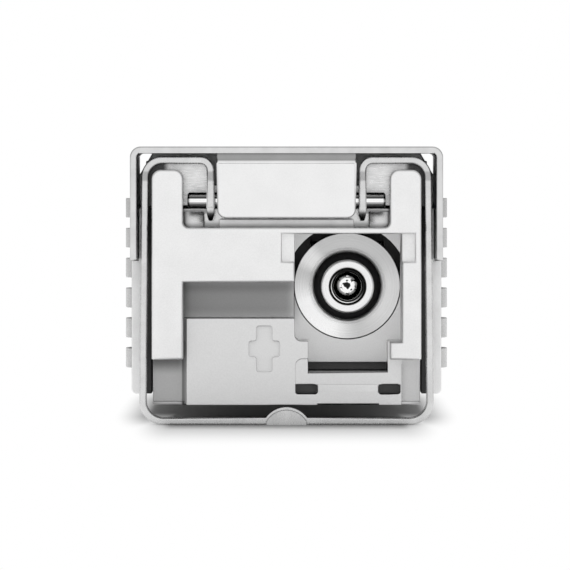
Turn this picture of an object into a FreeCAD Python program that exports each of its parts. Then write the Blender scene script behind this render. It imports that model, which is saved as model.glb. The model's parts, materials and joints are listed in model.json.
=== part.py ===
import FreeCAD, Part
import Sketcher
import os
import re
from FreeCAD import Vector

# Single fibre optical transceiver with a bail latch, shown latch side up.
# +X runs across the module, +Y from the nose to the board edge, +Z up; sizes in millimetres.
# Every sub-part is drawn with y counted from the front face of the nose, and its Placement
# brings the middle of the module's length to the origin.

SIZES = {
    # module
    "length": 56.5,
    "cage_half": 6.7,
    "cage_bottom": 1.3,
    "cage_height": 8.6,
    "stop_depth": 9.0,
    "latch_depth": 11.5,
    "connector_from_latch": 34.6,
    "board_from_latch": 41.8,
    "seat_gap": 0.05,
    # front frame of the housing
    "frame_front": 3.8,
    "frame_overhang": 0.15,
    "frame_wall": 0.9,
    "frame_roof": 0.8,
    "frame_step": 0.3,
    "frame_round": 0.2,
    "channel_depth": 0.38,
    # nose moulding
    "nose_drop": 0.46,
    "column_width": 1.36,
    "column_lift": 2.05,
    "column_rise": 2.53,
    "column_depth": 2.0,
    "column_round": 0.4,
    "recess_round": 0.25,
    "rib_front": 2.52,
    "rib_sheet": 0.2,
    "rib_rise": 0.69,
    "rest_front": 0.5,
    "rest_margin": 0.08,
    "plate_setback": 2.0,
    "foot_setback": 2.6,
    "foot_lip": 0.145,
    "corner_setback": 3.2,
    "vent_rise": 3.82,
    "vent_height": 1.62,
    "vent_depth": 5.5,
    "seam_width": 0.13,
    "seam_depth": 1.2,
    "cross_gap": 0.655,
    "cross_rise": 2.47,
    "cross_width": 0.69,
    "cross_span_x": 1.36,
    "cross_span_z": 2.02,
    "cross_depth": 0.45,
    "cross_round": 0.12,
    # optical port
    "port_lap": 0.01,
    "port_margin": 0.835,
    "port_roof_gap": 0.27,
    "port_above": 2.37,
    "port_below": 2.38,
    "port_round": 0.3,
    "port_depth": 6.6,
    "ear_width": 0.56,
    "ear_height": 1.22,
    "ear_depth": 0.5,
    "cradle_gap": 0.03,
    "relief_gap": 0.41,
    "relief_rise": 0.3,
    "neck_half": 1.755,
    "slot_rise": 1.43,
    "slot_height": 0.53,
    "slot_depth": 6.5,
    "panel_margin": 0.04,
    "panel_height": 1.12,
    "panel_depth": 0.12,
    "panel_round": 0.3,
    "window_rise": 0.91,
    "window_width": 0.97,
    "window_height": 0.43,
    "window_depth": 2.2,
    "sill_height": 0.33,
    "notch_height": 0.06,
    "notch_depth": 1.0,
    # housing casting
    "wall": 0.9,
    "web": 1.0,
    "guide_web": 1.95,
    "guide_length": 5.2,
    "ledge_width": 0.6,
    "ledge_front": 27.0,
    "ledge_inset": 1.1,
    "edge_round": 0.3,
    "lug_half": 3.03,
    "lug_rise": 0.41,
    "lug_front": 0.15,
    "lug_rear": 2.8,
    "lug_round": 0.4,
    "channel_half": 3.15,
    "channel_length": 4.2,
    "boss_half": 1.3,
    "boss_length": 2.6,
    "boss_height": 0.45,
    "boss_flat": 0.5,
    "boss_margin": 0.1,
    # label side lid
    "lid_thickness": 0.81,
    "lip_height": 0.9,
    "lip_width": 0.7,
    "label_inset": 0.12,
    "label_margin": 0.9,
    "label_gap": 1.6,
    "label_end": 2.7,
    "post_radius": 0.6,
    "post_from_wall": 1.05,
    "post_inset": 3.0,
    # sheet hood
    "hood_gap": 0.02,
    "hood_sheet": 0.29,
    "hood_clear": 0.15,
    "hood_drop": 4.98,
    "hood_front": 0.3,
    "hood_bend": 0.47,
    "door_gap": 0.2,
    # bail strip and its pin
    "pin_y": 1.4,
    "pin_rise": 1.18,
    "pin_radius": 0.36,
    "pin_end_gap": 0.19,
    "pin_chamfer": 0.08,
    "pin_clearance": 0.03,
    "strip": 0.31,
    "strip_front": 0.65,
    "strip_rear": 0.85,
    "hook_gap": 0.27,
    "leg_gap": 0.15,
    "tip_below": 0.89,
    "bail_gap": 0.15,
    "bail_splay": 0.11,
    "bar_gap": 0.53,
    "inner_bend": 0.6,
    "outer_bend": 0.9,
    "bar_bend": 1.05,
    "tip_round": 0.6,
    "tip_taper": 0.07,
    "taper_height": 0.28,
    "tab_half": 1.0,
    "tab_height": 0.775,
    "tab_sheet": 0.45,
    "tab_rim": 0.13,
    "tab_dish": 0.08,
    # actuator slide
    "hook_reach": 1.6,
    "arm_gap": 0.37,
    "arm_depth": 0.9,
    "arm_lift": 0.03,
    "arm_drop": 0.18,
    "stem_thickness": 0.72,
    "tine_gap": 0.15,
    "tine_setback": 0.6,
    "tine_length": 2.2,
    # spring collar
    "collar_sheet": 0.12,
    "collar_inset": 0.3,
    "collar_band": 1.1,
    "collar_length": 5.6,
    "collar_gap": 0.02,
    "collar_seat": 0.15,
    "collar_margin": 0.45,
    "finger_bulge": 0.58,
    "lower_bulge": 0.76,
    "finger_width": 0.88,
    "finger_pitch": 1.355,
    "finger_lift": 0.97,
    # optical sub-assembly
    "flange_inset": 0.15,
    "flange_radius": 2.365,
    "flange_thickness": 1.2,
    "flange_chamfer": 0.08,
    "annulus_gap": 0.27,
    "annulus_depth": 0.7,
    "barrel_proud": 2.35,
    "barrel_radius": 1.175,
    "barrel_bore": 0.83,
    "barrel_mouth": 0.1,
    "barrel_chamfer": 0.06,
    "neck_step": 0.43,
    "press_gap": 0.005,
    "sleeve_inset": 0.4,
    "sleeve_bore": 0.626,
    "sleeve_length": 2.95,
    "sleeve_slit": 0.2,
    "stub_gap": 0.1,
    "stub_chamfer": 0.12,
    "clip_sheet": 0.4,
    "clip_lap": 0.535,
    "block_gap": 0.1,
    "block_length": 5.6,
    "block_half": 2.55,
    "block_bore": 1.3,
    "filter_size": 1.5,
    "filter_sheet": 0.25,
    "can_radius": 2.3,
    "can_header": 1.1,
    "cap_radius": 1.2,
    "cap_length": 1.2,
    "lead_circle": 0.9,
    "lead_radius": 0.2,
    "lead_length": 2.0,
    "flex_sheet": 0.12,
    "flex_standoff": 1.2,
    "flex_half": 1.7,
    "flex_bend": 0.6,
    "flex_landing": 2.4,
    "tail_drop": 2.75,
    "tail_gap": 0.26,
    # board and what is soldered on it
    "board_drop": 2.25,
    "board_thickness": 1.0,
    "board_front": 26.0,
    "tongue_half": 4.6,
    "contact_pitch": 0.8,
    "contact_width": 0.5,
    "contact_length": 2.9,
    "contact_margin": 0.45,
    "contact_plating": 0.04,
    "driver_half": 2.0,
    "driver_height": 0.9,
    "driver_y": 36.0,
    "pad_thickness": 1.2,
    "controller_half": 2.5,
    "controller_height": 0.8,
    "controller_y": 39.5,
    "receiver_half": 1.5,
    "receiver_y": 32.5,
    "part_gap": 0.6,
    "capacitor_length": 1.0,
    "capacitor_width": 0.5,
    "capacitor_pitch": 2.0,
    "resistor_length": 0.6,
    "resistor_width": 0.3,
    "resistor_height": 0.25,
    "resistor_pitch": 1.0,
}

# places and sizes that follow from the ones above, by a named clearance or offset
DERIVED = {
    "cage_top": "cage_bottom + cage_height",
    "lid_top": "cage_bottom + lid_thickness",
    "wall_x": "cage_half - wall",
    "web_z": "cage_top - web",
    "deck_top": "cage_top - channel_depth",
    "frame_half": "cage_half + frame_overhang",
    "step_half": "frame_half - frame_step",
    "board_top": "cage_top - board_drop",
    "board_under": "board_top - board_thickness",
    "board_end": "latch_depth + board_from_latch",
    "connector_front": "latch_depth + connector_from_latch",
    "guide_end": "stop_depth + guide_length",
    "ledge_rear": "connector_front - ledge_inset",
    "post_x": "wall_x - post_from_wall",
    "nose_half": "frame_half - frame_wall - seat_gap",
    "nose_bottom": "cage_bottom - nose_drop",
    "recess_floor": "deck_top - frame_roof - seat_gap",
    "recess_half": "nose_half - column_width",
    "column_top": "recess_floor + column_rise",
    "column_bottom": "nose_bottom + column_lift",
    "vent_bottom": "nose_bottom + vent_rise",
    "vent_top": "vent_bottom + vent_height",
    "port_half": "flange_radius - port_lap",
    "port_x": "nose_half - port_margin - port_half",
    "port_z": "recess_floor - port_roof_gap - port_above",
    "port_left": "port_x - port_half",
    "port_right": "port_x + port_half",
    "port_floor": "port_z - port_below",
    "port_roof": "port_z + port_above",
    "neck_left": "port_x - neck_half",
    "neck_right": "port_x + neck_half",
    "slot_floor": "nose_bottom + slot_rise",
    "slot_top": "slot_floor + slot_height",
    "window_top": "nose_bottom + window_rise",
    "window_floor": "window_top - window_height",
    "relief_radius": "flange_radius + relief_gap",
    "cross_x": "port_left - cross_gap - cross_span_x / 2",
    "cross_z": "nose_bottom + cross_rise",
    "lug_bottom": "recess_floor + lug_rise",
    "lug_top": "hood_top - hood_sheet - seat_gap",
    "pin_z": "recess_floor + pin_rise",
    "pin_half": "recess_half - pin_end_gap",
    "hook_top": "column_top + hook_gap + strip",
    "inner_leg": "lug_half + leg_gap",
    "inner_tip": "pin_z - tip_below",
    "outer_top": "nose_half + bail_gap + strip",
    "outer_bottom": "outer_top + bail_splay",
    "bail_bottom": "nose_bottom - bar_gap - strip",
    "hood_inner": "step_half + hood_gap",
    "hood_half": "hood_inner + hood_sheet",
    "hood_top": "hook_top + hood_clear + hood_sheet",
    "hood_bottom": "hood_top - hood_drop",
    "slide_floor": "deck_top + seat_gap",
    "slide_top": "slide_floor + stem_thickness",
    "arm_half": "hood_inner - arm_gap",
    "arm_bottom": "slide_floor + arm_lift",
    "arm_top": "hook_top - arm_drop",
    "collar_front": "stop_depth + collar_inset",
    "collar_end": "collar_front + collar_length",
    "collar_mouth": "channel_half + collar_margin",
    "flange_depth": "port_depth + flange_inset",
    "flange_back": "flange_depth + flange_thickness",
    "annulus_radius": "barrel_radius + annulus_gap",
    "neck_radius": "barrel_radius + neck_step",
    "barrel_tip": "flange_depth - barrel_proud",
    "sleeve_front": "barrel_tip + sleeve_inset",
    "sleeve_end": "sleeve_front + sleeve_length",
    "stub_front": "sleeve_end + stub_gap",
    "clip_half": "flange_radius + clip_lap",
    "block_front": "guide_end + block_gap",
    "block_end": "block_front + block_length",
    "receiver_axis": "block_front + block_length / 2",
}

doc = FreeCAD.newDocument("transceiver")
sheet = doc.addObject("Spreadsheet::Sheet", "Sheet")
for row, (alias, number) in enumerate(SIZES.items(), start=1):
    sheet.set("A%d" % row, alias)
    sheet.set("B%d" % row, str(number))
    sheet.setAlias("B%d" % row, alias)
doc.recompute()

sub_parts = []


def formula(text):
    """The expression with every name pointed at its cell, or at what it follows from."""
    def cell(found):
        name = found[0]
        if name in DERIVED:
            return "(%s)" % formula(DERIVED[name])
        return "Sheet." + name if name in SIZES else name
    return re.sub(r"[a-z_]+", cell, str(text))


def value(text):
    """The number that an expression of the sheet gives."""
    return float(sheet.evalExpression(formula(text)))


def new_body(label, x="0", z="0"):
    """A sub-part whose own y starts at the nose face, on the axis x, z."""
    body = doc.addObject("PartDesign::Body", label)
    body.Label = label
    body.setExpression("Placement.Base.x", formula(x))
    body.setExpression("Placement.Base.y", formula("-length / 2"))
    body.setExpression("Placement.Base.z", formula(z))
    sub_parts.append(body)
    return body


def origin_feature(body, role):
    return next(item for item in body.Origin.OriginFeatures if item.Role == role)


def rect(x_low, x_high, y_low, y_high):
    return [(x_low, y_low), (x_high, y_low), (x_high, y_high), (x_low, y_high)]


def disc(x, y, radius):
    return ("disc", x, y, radius)


def chord_middle(start, end, rise):
    """The point that stands by rise to the right of the middle of a chord."""
    run = end - start
    right = Vector(run.y, -run.x, 0).normalize()
    return (start + end) * 0.5 + right * rise


def add_outline(sketch, points):
    """A closed outline; each corner is held by two expressions.

    A third entry is the rise of an arc that runs from that corner to the next one.
    """
    first = sketch.GeometryCount
    count = len(points)
    corners = [Vector(value(point[0]), value(point[1]), 0) for point in points]
    ends = []
    for index, point in enumerate(points):
        start = corners[index]
        end = corners[(index + 1) % count]
        forwards = True
        if len(point) == 3:
            middle = chord_middle(start, end, value(point[2]))
            forwards = value(point[2]) > 0
            edge = Part.Arc(start, middle, end) if forwards else Part.Arc(end, middle, start)
        else:
            edge = Part.LineSegment(start, end)
        sketch.addGeometry(edge, False)
        ends.append((1, 2) if forwards else (2, 1))
    for index in range(count):
        following = (index + 1) % count
        sketch.addConstraint(Sketcher.Constraint(
            "Coincident", first + index, ends[index][1], first + following, ends[following][0]))
    for index, point in enumerate(points):
        for kind, text in (("DistanceX", point[0]), ("DistanceY", point[1])):
            hold(sketch, kind, (-1, 1, first + index, ends[index][0]), text)
        if len(point) == 3:
            following = points[(index + 1) % count]
            chord = "((%s - (%s))^2 + (%s - (%s))^2)" % (following[0], point[0], following[1], point[1])
            radius = "abs((%s / 4 + (%s)^2) / (2 * (%s)))" % (chord, point[2], point[2])
            hold(sketch, "Radius", (first + index,), radius)


def hold(sketch, kind, targets, text):
    """A constraint whose size is an expression."""
    number = sketch.addConstraint(Sketcher.Constraint(kind, *targets, value(text)))
    sketch.setExpression("Constraints[%d]" % number, formula(text))


def add_disc(sketch, x, y, radius):
    """A circle held by its centre and its radius."""
    centre = Vector(value(x), value(y), 0)
    circle = sketch.addGeometry(Part.Circle(centre, Vector(0, 0, 1), value(radius)), False)
    hold(sketch, "DistanceX", (-1, 1, circle, 3), x)
    hold(sketch, "DistanceY", (-1, 1, circle, 3), y)
    hold(sketch, "Radius", (circle,), radius)


def new_sketch(body, name, role, offset, shapes):
    sketch = body.newObject("Sketcher::SketchObject", name + "_outline")
    sketch.AttachmentSupport = [(origin_feature(body, role), "")]
    sketch.MapMode = "FlatFace"
    sketch.setExpression("AttachmentOffset.Base.z", formula(offset))
    for shape in shapes:
        if shape[0] == "disc":
            add_disc(sketch, *shape[1:])
        else:
            add_outline(sketch, shape)
    return sketch


def extrude(kind, body, name, sketch, length, flip):
    feature = body.newObject("PartDesign::" + kind, name)
    feature.Profile = sketch
    feature.setExpression("Length", formula(length))
    feature.Reversed = flip
    body.Tip = feature
    doc.recompute()
    return feature


def front_pad(body, name, y_from, depth, *shapes):
    """Material with an outline seen from the front, from y_from backwards."""
    sketch = new_sketch(body, name, "XZ_Plane", "-(%s)" % y_from, shapes)
    return extrude("Pad", body, name, sketch, depth, True)


def side_pad(body, name, x_from, width, *shapes):
    """Material with an outline seen from the side, from x_from towards +X."""
    sketch = new_sketch(body, name, "YZ_Plane", x_from, shapes)
    return extrude("Pad", body, name, sketch, width, False)


def plan_pad(body, name, z_from, height, *shapes):
    """Material with an outline seen from above, from z_from upwards."""
    sketch = new_sketch(body, name, "XY_Plane", z_from, shapes)
    return extrude("Pad", body, name, sketch, height, False)


def checked_cut(body, name, sketch, length, flip):
    """A pocket, refused when it takes nothing away."""
    before = body.Shape.Volume
    feature = extrude("Pocket", body, name, sketch, length, flip)
    if body.Shape.Volume > before - 1e-6:
        raise RuntimeError("%s of %s cuts nothing" % (name, body.Label))
    return feature


def front_pocket(body, name, y_from, depth, *shapes):
    sketch = new_sketch(body, name, "XZ_Plane", "-(%s)" % y_from, shapes)
    return checked_cut(body, name, sketch, depth, False)


def side_pocket(body, name, x_from, width, *shapes):
    sketch = new_sketch(body, name, "YZ_Plane", x_from, shapes)
    return checked_cut(body, name, sketch, width, True)


def plan_pocket(body, name, z_from, height, *shapes):
    sketch = new_sketch(body, name, "XY_Plane", z_from, shapes)
    return checked_cut(body, name, sketch, height, True)


def turn(body, name, points, axis="V_Axis"):
    """A solid of revolution from an outline of radius and depth."""
    sketch = new_sketch(body, name, "XY_Plane", "0", [points])
    feature = body.newObject("PartDesign::Revolution", name)
    feature.Profile = sketch
    feature.ReferenceAxis = (sketch, [axis])
    feature.Angle = 360
    body.Tip = feature
    doc.recompute()
    return feature


def edges_along(body, axis, places):
    """Names of the straight edges along an axis, at the given places across it."""
    others = [index for index in range(3) if index != "xyz".index(axis)]
    wanted = [(value(first), value(second)) for first, second in places]
    names = []
    for number, edge in enumerate(body.Tip.Shape.Edges, start=1):
        if edge.Curve.TypeId != "Part::GeomLine":
            continue
        run = edge.Vertexes[-1].Point - edge.Vertexes[0].Point
        if abs(run[others[0]]) + abs(run[others[1]]) > 1e-4:
            continue
        middle = edge.CenterOfMass
        for first, second in wanted:
            if abs(middle[others[0]] - first) + abs(middle[others[1]] - second) < 1e-3:
                names.append("Edge%d" % number)
                break
    if not names:
        raise RuntimeError("no edge along %s found on %s" % (axis, body.Label))
    return names


def soften(kind, body, name, size, axis, places):
    """A fillet or chamfer on the edges along an axis at the given places."""
    base = body.Tip
    names = edges_along(body, axis, places)
    feature = body.newObject("PartDesign::" + kind, name)
    feature.Base = (base, names)
    feature.setExpression("Radius" if kind == "Fillet" else "Size", formula(size))
    body.Tip = feature
    doc.recompute()
    return feature


def mirror_x(points):
    """The same outline on the other side of the middle plane."""
    return [("-(%s)" % x, y) for x, y in reversed(points)]


SIDE_FINGERS = 6
LOWER_FINGERS = 8
UPPER_FINGERS = 2
CONTACTS_IN_ROW = 10


def both_sides(x, z):
    return [(x, z), ("-(%s)" % x, z)]


def nose_receptacle():
    """Front moulding: two columns, the vent, the set-back plate and the optical port."""
    body = new_body("nose_receptacle")
    front_pad(body, "block", "0", "stop_depth - seat_gap",
              rect("-nose_half", "nose_half", "nose_bottom", "recess_floor"))
    for side, low, high in (("left", "-nose_half", "-recess_half"), ("right", "recess_half", "nose_half")):
        front_pad(body, side + "_column", "0", "column_depth", rect(low, high, "column_bottom", "column_top"))
    soften("Fillet", body, "column_ends", "column_round", "y",
           both_sides("nose_half", "column_top") + both_sides("recess_half", "column_top"))
    soften("Fillet", body, "recess_corners", "recess_round", "y", both_sides("recess_half", "recess_floor"))
    # a rest stands close under the housing's lug, and a low rib ends the recess outside each leg of the bail
    rest_half = "(lug_half - rest_margin)"
    front_pad(body, "rest", "rest_front", "rib_front + rib_sheet - rest_front",
              rect("-" + rest_half, rest_half, "recess_floor", "lug_bottom - seat_gap"))
    rib_start = "(inner_leg + strip + leg_gap)"
    rib_end = "(recess_half + recess_round)"
    front_pad(body, "ribs", "rib_front", "rib_sheet",
              rect(rib_start, rib_end, "recess_floor", "recess_floor + rib_rise"),
              rect("-" + rib_end, "-" + rib_start, "recess_floor", "recess_floor + rib_rise"))
    # the lower half lies behind the columns, and the two feet lie deeper, over a small lip
    front_pocket(body, "set_back", "0", "plate_setback",
                 [("-recess_half", "nose_bottom"), ("nose_half", "nose_bottom"),
                  ("nose_half", "column_bottom"), ("recess_half", "column_bottom"),
                  ("recess_half", "vent_bottom"), ("-recess_half", "vent_bottom")])
    for name, setback, low in (("foot_lips", "foot_setback", "nose_bottom"),
                               ("feet", "corner_setback", "nose_bottom + foot_lip")):
        front_pocket(body, name, "0", setback, rect("-nose_half", "-recess_half", low, "column_bottom"),
                     rect("port_right", "nose_half", low, "column_bottom"))
    front_pocket(body, "vent", "0", "vent_depth",
                 rect("-recess_half", "port_left", "vent_bottom", "vent_top"))
    front_pocket(body, "seam", "plate_setback", "seam_depth",
                 rect("-recess_half", "seam_width - recess_half", "nose_bottom", "vent_bottom"))
    # the port ends in a wall with a close cradle under the optical flange and a wider relief over it
    front_pocket(body, "port", "0", "port_depth", rect("port_left", "port_right", "port_floor", "port_roof"))
    front_pocket(body, "flange_cradle", "port_depth", "stop_depth",
                 disc("port_x", "port_z", "flange_radius + cradle_gap"))
    chord = "sqrt(relief_radius^2 - relief_rise^2)"
    front_pocket(body, "flange_relief", "port_depth", "stop_depth",
                 [("port_x - " + chord, "port_z + relief_rise"),
                  ("port_x + " + chord, "port_z + relief_rise", "relief_radius - relief_rise")])
    front_pocket(body, "clip_seat", "flange_back", "stop_depth",
                 rect("port_x - clip_half - seat_gap", "port_x + clip_half + seat_gap",
                      "port_z - clip_half - seat_gap", "recess_floor"))
    front_pocket(body, "ears", "0", "ear_depth",
                 rect("port_left - ear_width", "port_right + ear_width",
                      "port_roof - ear_height", "port_roof"))
    front_pocket(body, "neck", "plate_setback", "port_depth - plate_setback",
                 rect("neck_left", "neck_right", "slot_top", "port_floor"))
    soften("Fillet", body, "port_corner", "port_round", "y", [("port_left", "port_floor")])
    # under the neck: a shallow panel with the catch slot in it, a sill, and a window at each end of the sill
    panel_left = "(port_left + panel_margin)"
    panel_right = "(port_right - panel_margin)"
    panel_top = "(window_top + panel_height)"
    sill_left = "(%s + window_width)" % panel_left
    sill_right = "(%s - window_width)" % panel_right
    front_pocket(body, "catch_panel", "plate_setback", "panel_depth",
                 rect(panel_left, panel_right, "window_top", panel_top))
    soften("Fillet", body, "panel_corner", "panel_round", "y", [(panel_left, panel_top)])
    front_pocket(body, "catch_slot", "plate_setback", "slot_depth",
                 rect("neck_left", "neck_right", "slot_floor", "slot_top"))
    front_pocket(body, "sill", "plate_setback", "panel_depth / 2",
                 rect(sill_left, sill_right, "window_top - sill_height", "window_top"))
    front_pocket(body, "catch_windows", "plate_setback", "window_depth",
                 rect(panel_left, sill_left, "window_floor", "window_top"),
                 rect(sill_right, panel_right, "window_floor", "window_top"))
    front_pocket(body, "lower_notch", "plate_setback", "notch_depth",
                 rect(sill_left, sill_right, "nose_bottom", "nose_bottom + notch_height"))
    # the blank port is a plate with a cross-shaped recess
    left, right = "(cross_x - cross_width / 2)", "(cross_x + cross_width / 2)"
    under, over = "(cross_z - cross_width / 2)", "(cross_z + cross_width / 2)"
    far_left, far_right = "(cross_x - cross_span_x / 2)", "(cross_x + cross_span_x / 2)"
    bottom, top = "(cross_z - cross_span_z / 2)", "(cross_z + cross_span_z / 2)"
    cross = [(left, bottom), (right, bottom), (right, under), (far_right, under), (far_right, over),
             (right, over), (right, top), (left, top), (left, over), (far_left, over), (far_left, under),
             (left, under)]
    front_pocket(body, "cross", "plate_setback", "cross_depth", cross)
    soften("Fillet", body, "cross_corners", "cross_round", "y", cross)
    return body


def housing_base():
    """Cast housing: front frame, pin lug, channel for the slide, and the part inside the cage."""
    body = new_body("housing_base")
    inner = "(frame_half - frame_wall)"
    roof = "(deck_top - frame_roof)"
    shelf = "(hood_bottom - seat_gap)"
    half = [("frame_half", "cage_bottom"), ("frame_half", shelf), ("step_half", shelf),
            ("step_half", "deck_top")]
    front_pad(body, "frame", "frame_front", "stop_depth - frame_front",
              half + mirror_x(half) + [("-" + inner, "cage_bottom"), ("-" + inner, roof),
                                       (inner, roof), (inner, "cage_bottom")])
    soften("Fillet", body, "frame_edges", "frame_round", "y", both_sides("frame_half", "cage_bottom"))
    front_pad(body, "tube", "stop_depth", "length - stop_depth",
              [("-cage_half", "lid_top"), ("-wall_x", "lid_top"), ("-wall_x", "web_z"), ("wall_x", "web_z"),
               ("wall_x", "lid_top"), ("cage_half", "lid_top"), ("cage_half", "cage_top"),
               ("-cage_half", "cage_top")])
    soften("Fillet", body, "tube_edges", "edge_round", "y", both_sides("cage_half", "cage_top"))
    front_pad(body, "guide", "stop_depth", "guide_length",
              rect("-wall_x", "wall_x", "cage_top - guide_web", "web_z"))
    side_pad(body, "lug", "-lug_half", "2 * lug_half",
             [("lug_front", "lug_bottom"), ("frame_front", "lug_bottom"), ("frame_front", "deck_top"),
              ("lug_rear", "deck_top"), ("lug_rear", "lug_top"), ("lug_front", "lug_top")])
    soften("Fillet", body, "lug_corners", "lug_round", "y", both_sides("lug_half", "lug_bottom"))
    soften("Fillet", body, "lug_brow", "lug_round", "x", [("lug_front", "lug_top")])
    side_pocket(body, "pin_bore", "-lug_half", "2 * lug_half",
                disc("pin_y", "pin_z", "pin_radius + press_gap"))
    channel_end = "(stop_depth + channel_length)"
    island = "(boss_half + boss_margin)"
    plan_pocket(body, "channel", "deck_top", "channel_depth",
                [("-channel_half", "stop_depth"), ("channel_half", "stop_depth"),
                 ("channel_half", channel_end), (island, channel_end), (island, "latch_depth"),
                 ("-" + island, "latch_depth"), ("-" + island, channel_end), ("-channel_half", channel_end)])
    boss_top = "(cage_top + boss_height)"
    side_pad(body, "latch_boss", "-boss_half", "2 * boss_half",
             [("latch_depth", "cage_top"), ("latch_depth + boss_length", "cage_top"),
              ("latch_depth + boss_flat", boss_top), ("latch_depth", boss_top)])
    plan_pocket(body, "connector_mouth", "web_z", "web",
                rect("-wall_x", "wall_x", "connector_front", "length"))
    for side, low, high in (("left", "-wall_x", "ledge_width - wall_x"),
                            ("right", "wall_x - ledge_width", "wall_x")):
        plan_pad(body, side + "_ledge", "board_top + seat_gap", "board_drop - web - seat_gap",
                 rect(low, high, "ledge_front", "ledge_rear"))
    return body


def latch_hood():
    """Folded sheet over the latch side of the nose, with a stop flange turned down behind."""
    body = new_body("latch_hood")
    under = "(hood_top - hood_sheet)"
    front_pad(body, "fold", "hood_front", "stop_depth - hood_front",
              [("hood_half", "hood_bottom"), ("hood_half", "hood_top"), ("-hood_half", "hood_top"),
               ("-hood_half", "hood_bottom"), ("-hood_inner", "hood_bottom"), ("-hood_inner", under),
               ("hood_inner", under), ("hood_inner", "hood_bottom")])
    soften("Fillet", body, "outer_bends", "hood_bend", "y", both_sides("hood_half", "hood_top"))
    soften("Fillet", body, "inner_bends", "hood_bend - hood_sheet", "y", both_sides("hood_inner", under))
    door_half = "(channel_half + seat_gap)"
    door_top = "(slide_top + door_gap)"
    flange = [("-hood_inner", "slide_floor"), ("-" + door_half, "slide_floor"), ("-" + door_half, door_top),
              (door_half, door_top), (door_half, "slide_floor"), ("hood_inner", "slide_floor"),
              ("hood_inner", "hood_top - hood_bend"), ("hood_inner - hood_bend", under),
              ("hood_bend - hood_inner", under), ("-hood_inner", "hood_top - hood_bend")]
    front_pad(body, "stop_flange", "stop_depth - hood_sheet", "hood_sheet", flange)
    return body


def bail():
    """One strip bent twice over each column and once at each foot, with a half-round tab."""
    body = new_body("bail")
    hook_under = "(hook_top - strip)"
    bar_top = "(bail_bottom + strip)"
    half = [("outer_bottom", "bail_bottom"), ("outer_top", "hook_top"), ("inner_leg", "hook_top"),
            ("inner_leg", "inner_tip"), ("inner_leg + strip", "inner_tip"), ("inner_leg + strip", hook_under),
            ("outer_top - strip", hook_under), ("outer_bottom - strip", bar_top)]
    front = "(pin_y - strip_front)"
    front_pad(body, "strip_form", front, "strip_front + strip_rear", half + mirror_x(half))
    soften("Fillet", body, "foot_outer", "bar_bend", "y", both_sides("outer_bottom", "bail_bottom"))
    soften("Fillet", body, "foot_inner", "bar_bend - strip", "y", both_sides("outer_bottom - strip", bar_top))
    soften("Fillet", body, "shoulder_outer", "outer_bend", "y", both_sides("outer_top", "hook_top"))
    soften("Fillet", body, "shoulder_inner", "outer_bend - strip", "y",
           both_sides("outer_top - strip", hook_under))
    soften("Fillet", body, "hook_outer", "inner_bend", "y", both_sides("inner_leg", "hook_top"))
    soften("Fillet", body, "hook_inner", "inner_bend - strip", "y",
           both_sides("inner_leg + strip", hook_under))
    soften("Fillet", body, "leg_tips", "tip_round", "x",
           [(front, "inner_tip"), ("pin_y + strip_rear", "inner_tip")])
    taper_top = "(inner_tip + taper_height)"
    inside = [("inner_leg", "inner_tip"), ("inner_leg + tip_taper", "inner_tip"), ("inner_leg", taper_top)]
    outside = [("inner_leg + strip - tip_taper", "inner_tip"), ("inner_leg + strip", "inner_tip"),
               ("inner_leg + strip", taper_top)]
    front_pocket(body, "tip_tapers", front, "strip_front + strip_rear",
                 inside, outside, mirror_x(inside), mirror_x(outside))
    middle = "(bail_bottom + strip / 2)"
    front_pad(body, "tab", front, "tab_sheet",
              [("-tab_half", middle), ("tab_half", middle, "tab_height - strip / 2")])
    dish_half = "(tab_half - tab_rim)"
    front_pocket(body, "tab_dish", front, "tab_dish",
                 [("-" + dish_half, "bail_bottom"), (dish_half, "bail_bottom"),
                  (dish_half, middle, "tab_height - strip / 2 - tab_rim"), ("-" + dish_half, middle)])
    reach = "(inner_leg + 2 * strip)"
    side_pocket(body, "pin_holes", "-" + reach, "2 * " + reach,
                disc("pin_y", "pin_z", "pin_radius + pin_clearance"))
    return body


def pivot_pin():
    """Straight pin with chamfered ends, pressed through the lug."""
    body = new_body("pivot_pin", "0", "pin_z")
    body.setExpression("Placement.Base.y", formula("pin_y - length / 2"))
    turn(body, "pin", [("-pin_half", "0"), ("pin_half", "0"), ("pin_half", "pin_radius - pin_chamfer"),
                       ("pin_half - pin_chamfer", "pin_radius"), ("pin_chamfer - pin_half", "pin_radius"),
                       ("-pin_half", "pin_radius - pin_chamfer")], "H_Axis")
    return body


def actuator():
    """Slide with two arms behind the bail hooks, cut away behind the lug, and two wedge tines."""
    body = new_body("actuator")
    face = "(pin_y + hook_reach)"
    stem_half = "(channel_half - seat_gap)"
    notch = "(inner_leg + strip)"
    front_pad(body, "arms", face, "arm_depth",
              [("-arm_half", "arm_bottom"), ("-" + stem_half, "arm_bottom"), ("-" + stem_half, "slide_floor"),
               (stem_half, "slide_floor"), (stem_half, "arm_bottom"), ("arm_half", "arm_bottom"),
               ("arm_half", "arm_top"), (notch, "arm_top"), (notch, "slide_top"),
               ("-" + notch, "slide_top"), ("-" + notch, "arm_top"), ("-arm_half", "arm_top")])
    tip = "(latch_depth - tine_setback)"
    tine_inner = "(boss_half + boss_margin + tine_gap)"
    side_pad(body, "stem", "-" + stem_half, "2 * " + stem_half,
             [(face, "slide_floor"), (tip, "slide_floor"), (tip + " - stem_thickness", "slide_top"),
              (face, "slide_top")])
    plan_pocket(body, "tine_fork", "slide_floor", "stem_thickness",
                rect("-" + tine_inner, tine_inner, tip + " - tine_length", tip))
    return body


def pattern(body, name, original, axis, count, spacing):
    """Copies of a feature in a row along one of the body's own axes."""
    feature = body.newObject("PartDesign::LinearPattern", name)
    feature.Originals = [original]
    feature.Direction = (origin_feature(body, axis), [""])
    feature.Mode = "Spacing"
    feature.setExpression("Offset", formula(spacing))
    feature.Occurrences = count
    body.Tip = feature
    doc.recompute()
    return feature


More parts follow.
